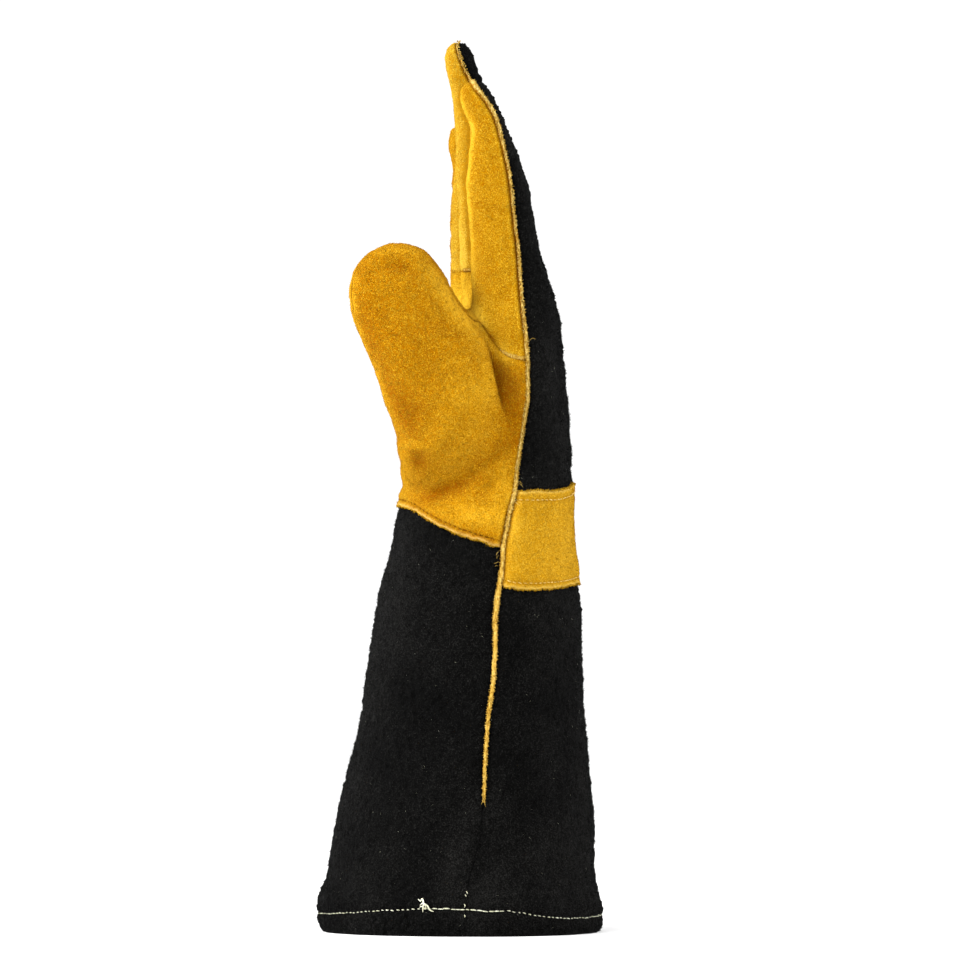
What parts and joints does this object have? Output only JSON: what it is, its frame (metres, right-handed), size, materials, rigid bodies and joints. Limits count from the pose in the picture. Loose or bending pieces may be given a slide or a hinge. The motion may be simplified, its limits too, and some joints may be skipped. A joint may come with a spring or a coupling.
{
  "type": "barbecue glove",
  "caption": "Right-hand gauntlet glove of split leather with a wing thumb, a wrist band and a long flared cuff, standing upright and hollow.",
  "frame": {"origin": "middle of the hem on the surface that the glove stands on", "axes": "+Z from the hem up to the fingertips, +X towards the back of the hand, -Y towards the thumb"},
  "size_m": [0.1183, 0.132, 0.368],
  "materials": {
    "gold_suede": "napped split suede",
    "black_suede": "napped split suede",
    "pale_welt": "raw cut edge",
    "thread": "heavy sewing thread"
  },
  "bodies": {
    "root": {"palm": "gold_suede", "finger_fronts": "gold_suede", "thumb_outer": "gold_suede", "thumb_inner": "gold_suede", "hand_back": "black_suede", "wrist_band": "gold_suede", "cuff_palm": "black_suede", "cuff_back": "black_suede", "welt_thumb_side": "pale_welt", "welt_fingers": "pale_welt", "welt_little_side": "pale_welt"}
  },
  "joints": []
}
